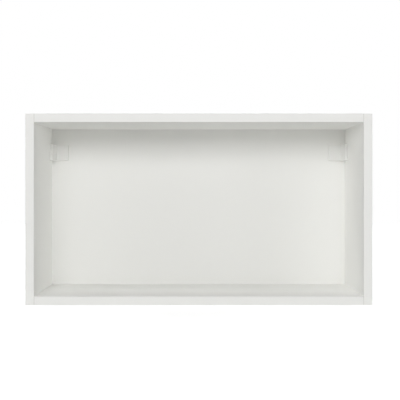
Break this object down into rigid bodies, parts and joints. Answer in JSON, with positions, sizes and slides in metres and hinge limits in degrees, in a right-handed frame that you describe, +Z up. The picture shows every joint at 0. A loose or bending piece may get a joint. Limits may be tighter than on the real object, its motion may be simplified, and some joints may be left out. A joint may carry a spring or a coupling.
{
  "type": "kitchen wall cabinet",
  "caption": "Open-fronted kitchen wall cabinet of white melamine-faced board that hangs from a wall rail by steel brackets under pull-off covers in its upper back corners.",
  "frame": {"origin": "middle of the underside: half way along the width and the depth, at the level of the bottom faces", "axes": "+Z up, +X to the right seen from the open front, +Y from the open front towards the wall"},
  "size_m": [0.725, 0.37, 0.4],
  "materials": {
    "melamine_board": "white melamine, finely grained",
    "edge_band": "white plastic band, satin",
    "back_board": "white lacquered hardboard",
    "lock_zinc": "bright zinc casting",
    "bolt_steel": "zinc-plated steel",
    "bracket_steel": "galvanised sheet steel",
    "dowel_beech": "fluted beech",
    "cover_plastic": "moulded white plastic, fine matt"
  },
  "bodies": {
    "cabinet": {"left_side_panel": "melamine_board", "right_side_panel": "melamine_board", "top_panel": "melamine_board", "bottom_panel": "melamine_board", "back_panel": "back_board", "left_side_front_edge_band": "edge_band", "right_side_front_edge_band": "edge_band", "left_side_bottom_edge_band": "edge_band", "right_side_bottom_edge_band": "edge_band", "left_side_top_edge_band": "edge_band", "right_side_top_edge_band": "edge_band", "bottom_panel_front_edge_band": "edge_band", "top_panel_front_edge_band": "edge_band", "bottom_cam_locks": "lock_zinc", "top_cam_locks": "lock_zinc", "left_side_cam_bolts": "bolt_steel", "right_side_cam_bolts": "bolt_steel", "bottom_dowels": "dowel_beech", "top_dowels": "dowel_beech", "left_suspension_bracket": "bracket_steel", "right_suspension_bracket": "bracket_steel", "bracket_screws": "bolt_steel"},
    "left_cover": {"left_corner_cover": "cover_plastic"},
    "right_cover": {"right_corner_cover": "cover_plastic"}
  },
  "joints": [
    {"name": "left_cover_pull", "type": "slide", "parent": "cabinet", "child": "left_cover", "axis": [0, -1, 0], "range_m": [0, 0.06]},
    {"name": "right_cover_pull", "type": "slide", "parent": "cabinet", "child": "right_cover", "axis": [0, -1, 0], "range_m": [0, 0.06]}
  ]
}
